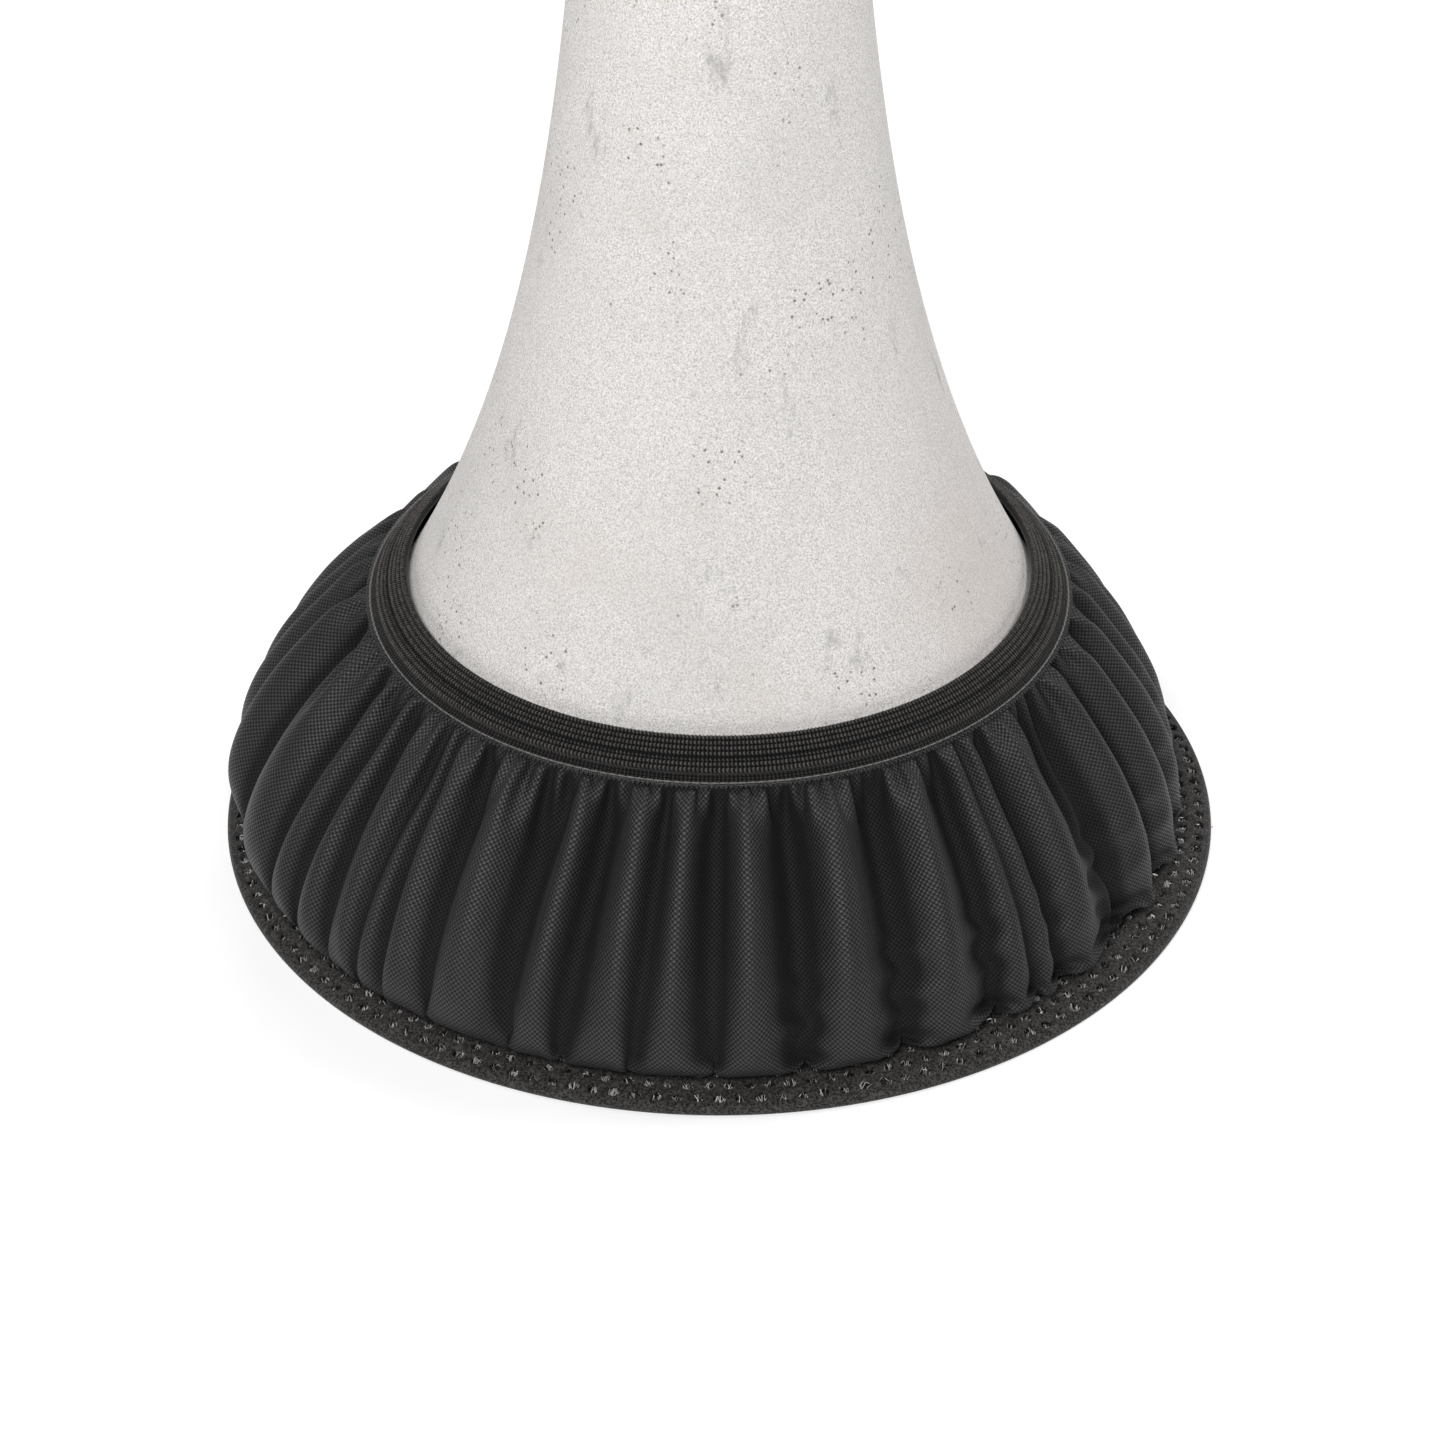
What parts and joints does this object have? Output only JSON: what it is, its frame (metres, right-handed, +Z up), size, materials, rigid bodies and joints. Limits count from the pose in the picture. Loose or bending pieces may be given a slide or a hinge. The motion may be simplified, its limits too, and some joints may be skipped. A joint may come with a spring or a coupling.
{
  "type": "flared snoot tube with slip-on fabric skirt",
  "caption": "Hollow flared tube standing on its wide end, ringed by a slip-on skirt of knitted elastic, gathered nylon and a spacer-mesh rim; the skirt lifts off along the tube.",
  "frame": {"origin": "on the tube's axis, in the plane that the tube's foot and the mesh rim stand on", "axes": "+Z up along the tube's axis from the wide foot to the narrow mouth; -Y faces the viewer; +Y is the side with the fabric's seams"},
  "size_m": [0.2798, 0.2798, 0.3],
  "materials": {
    "foam": "matte",
    "knit_elastic": "matte",
    "nylon": "satin",
    "spacer_mesh": "matte",
    "pale_thread": "satin",
    "black_thread": "matte"
  },
  "bodies": {
    "tube": {"flared_tube": "foam"},
    "skirt": {"elastic_band": "knit_elastic", "band_lap": "knit_elastic", "band_tack_stitch": "black_thread", "gathered_heading": "nylon", "gathering_thread": "pale_thread", "heading_thread": "black_thread", "skirt_panel": "nylon", "back_seam_allowance": "nylon", "back_seam_stitch": "black_thread", "skirt_hem": "nylon", "hem_thread": "black_thread", "mesh_rim": "spacer_mesh", "mesh_binding": "nylon"}
  },
  "joints": [
    {"name": "skirt_lift_off", "type": "slide", "parent": "tube", "child": "skirt", "axis": [0, 0, 1], "range_m": [0, 0.31]}
  ]
}
